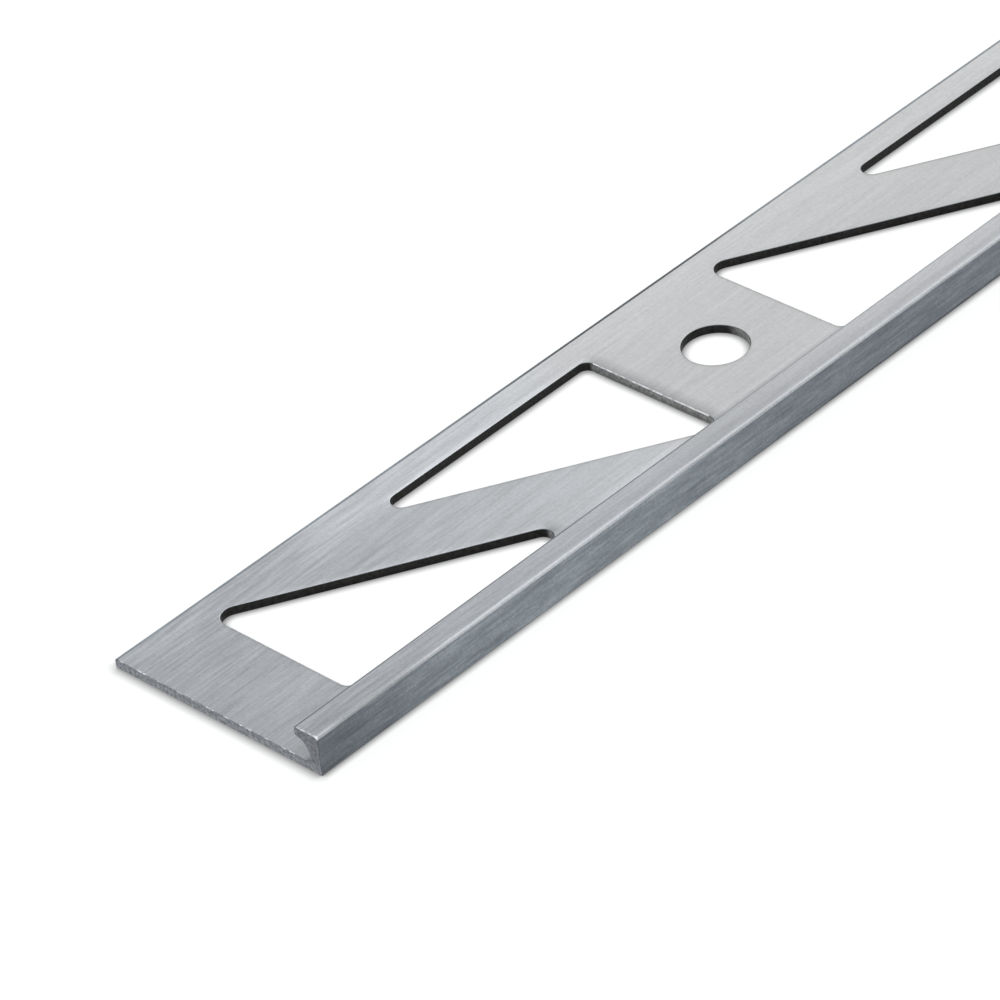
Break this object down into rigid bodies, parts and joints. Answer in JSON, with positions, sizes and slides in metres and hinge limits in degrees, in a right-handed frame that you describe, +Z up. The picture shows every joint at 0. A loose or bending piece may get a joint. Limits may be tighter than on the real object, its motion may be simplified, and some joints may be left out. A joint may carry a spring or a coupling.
{
  "type": "edge trim profile",
  "caption": "Long aluminium angle profile with a low hooked upright edge and a flat anchoring leg pierced with slanted triangular cut-outs and round nail holes.",
  "frame": {"origin": "middle of the underside over the whole length and width", "axes": "+X along the bar away from the near end, +Y from the upright face to the free edge, +Z up through the nose"},
  "size_m": [1, 0.0274, 0.0045],
  "materials": {
    "brushed_aluminium": "brushed along the length, natural"
  },
  "bodies": {
    "root": {"edge_profile": "brushed_aluminium"}
  },
  "joints": []
}
